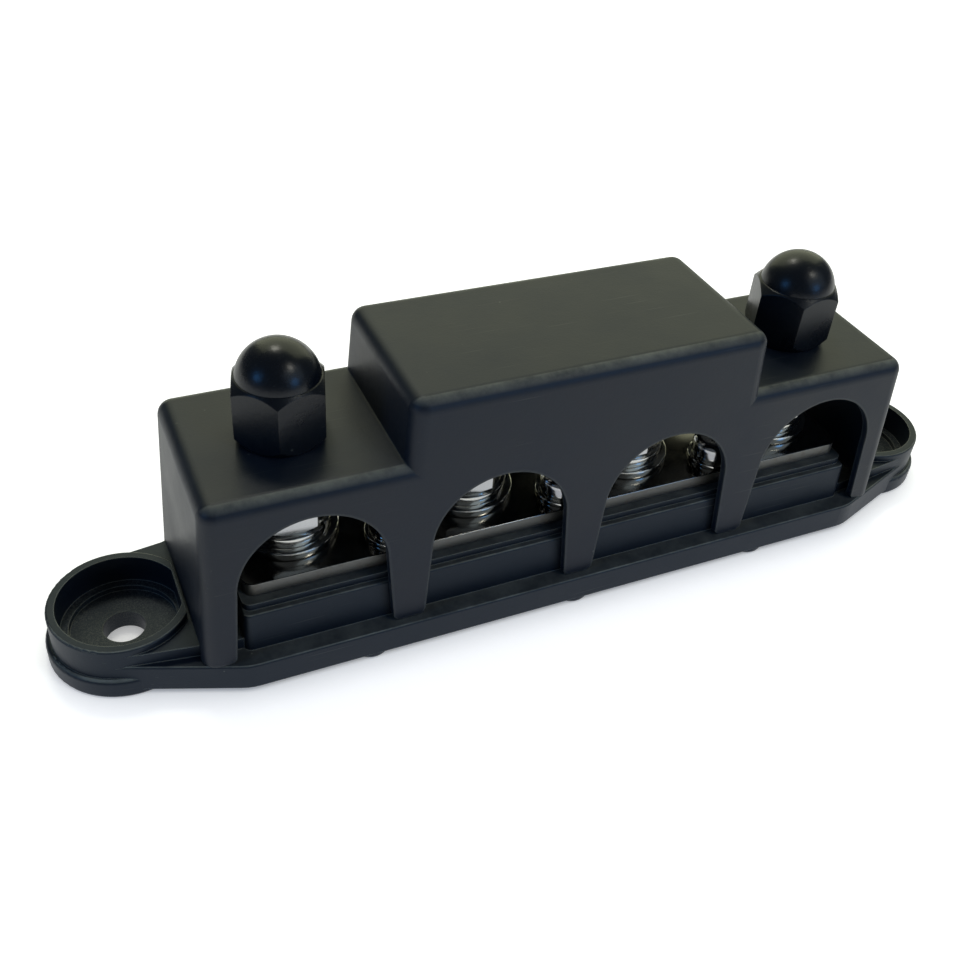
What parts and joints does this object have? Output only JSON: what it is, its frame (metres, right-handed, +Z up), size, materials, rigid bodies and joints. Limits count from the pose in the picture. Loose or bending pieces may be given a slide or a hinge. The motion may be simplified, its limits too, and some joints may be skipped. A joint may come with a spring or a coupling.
{
  "type": "bus bar",
  "caption": "Covered power distribution bus bar: plated bar with threaded studs on an insulating base with mounting ears, under an arched cover held by domed cap nuts.",
  "frame": {"origin": "centre of the mounting surface, midway between the two ear holes", "axes": "X runs along the bar, +Y towards the back, +Z up out of the mounting surface"},
  "size_m": [0.1752, 0.036, 0.053],
  "materials": {
    "base_plastic": "semi-matt moulded black plastic",
    "cover_plastic": "satin moulded black plastic",
    "cap_plastic": "semi-gloss moulded black plastic",
    "bar_metal": "bright plating with fine draw marks",
    "plated_steel": "bright nickel plating"
  },
  "bodies": {
    "bar_unit": {"base": "base_plastic", "bus_bar": "bar_metal", "stud_1": "plated_steel", "flat_washer_1": "plated_steel", "spring_washer_1": "plated_steel", "stud_2": "plated_steel", "flat_washer_2": "plated_steel", "spring_washer_2": "plated_steel", "stud_3": "plated_steel", "flat_washer_3": "plated_steel", "spring_washer_3": "plated_steel", "stud_4": "plated_steel", "flat_washer_4": "plated_steel", "spring_washer_4": "plated_steel", "screw_flat_washer_1": "plated_steel", "screw_spring_washer_1": "plated_steel", "screw_flat_washer_2": "plated_steel", "screw_spring_washer_2": "plated_steel", "screw_flat_washer_3": "plated_steel", "screw_spring_washer_3": "plated_steel"},
    "cover_shell": {"cover": "cover_plastic"},
    "cap_left": {"cap_nut_left": "cap_plastic"},
    "cap_right": {"cap_nut_right": "cap_plastic"},
    "nut_1": {"hex_nut_1": "plated_steel"},
    "nut_2": {"hex_nut_2": "plated_steel"},
    "nut_3": {"hex_nut_3": "plated_steel"},
    "nut_4": {"hex_nut_4": "plated_steel"},
    "screw_1": {"terminal_screw_1": "plated_steel"},
    "screw_2": {"terminal_screw_2": "plated_steel"},
    "screw_3": {"terminal_screw_3": "plated_steel"}
  },
  "joints": [
    {"name": "cover_lift", "type": "slide", "parent": "bar_unit", "child": "cover_shell", "axis": [0, 0, 1], "range_m": [0, 0.06]},
    {"name": "cap_left_turn", "type": "hinge", "parent": "cover_shell", "child": "cap_left", "pos_m": [-0.0474, 0, 0.0367], "axis": [0, 0, 1], "continuous": true},
    {"name": "cap_right_turn", "type": "hinge", "parent": "cover_shell", "child": "cap_right", "pos_m": [0.0474, 0, 0.0367], "axis": [0, 0, 1], "continuous": true},
    {"name": "nut_1_turn", "type": "hinge", "parent": "bar_unit", "child": "nut_1", "pos_m": [-0.0474, 0, 0.0207], "axis": [0, 0, 1], "continuous": true},
    {"name": "nut_2_turn", "type": "hinge", "parent": "bar_unit", "child": "nut_2", "pos_m": [-0.0158, 0, 0.0207], "axis": [0, 0, 1], "continuous": true},
    {"name": "nut_3_turn", "type": "hinge", "parent": "bar_unit", "child": "nut_3", "pos_m": [0.0158, 0, 0.0207], "axis": [0, 0, 1], "continuous": true},
    {"name": "nut_4_turn", "type": "hinge", "parent": "bar_unit", "child": "nut_4", "pos_m": [0.0474, 0, 0.0207], "axis": [0, 0, 1], "continuous": true},
    {"name": "screw_1_turn", "type": "hinge", "parent": "bar_unit", "child": "screw_1", "pos_m": [-0.0316, -0.007, 0.019], "axis": [0, 0, 1], "continuous": true},
    {"name": "screw_2_turn", "type": "hinge", "parent": "bar_unit", "child": "screw_2", "pos_m": [0, -0.007, 0.019], "axis": [0, 0, 1], "continuous": true},
    {"name": "screw_3_turn", "type": "hinge", "parent": "bar_unit", "child": "screw_3", "pos_m": [0.0316, -0.007, 0.019], "axis": [0, 0, 1], "continuous": true}
  ]
}
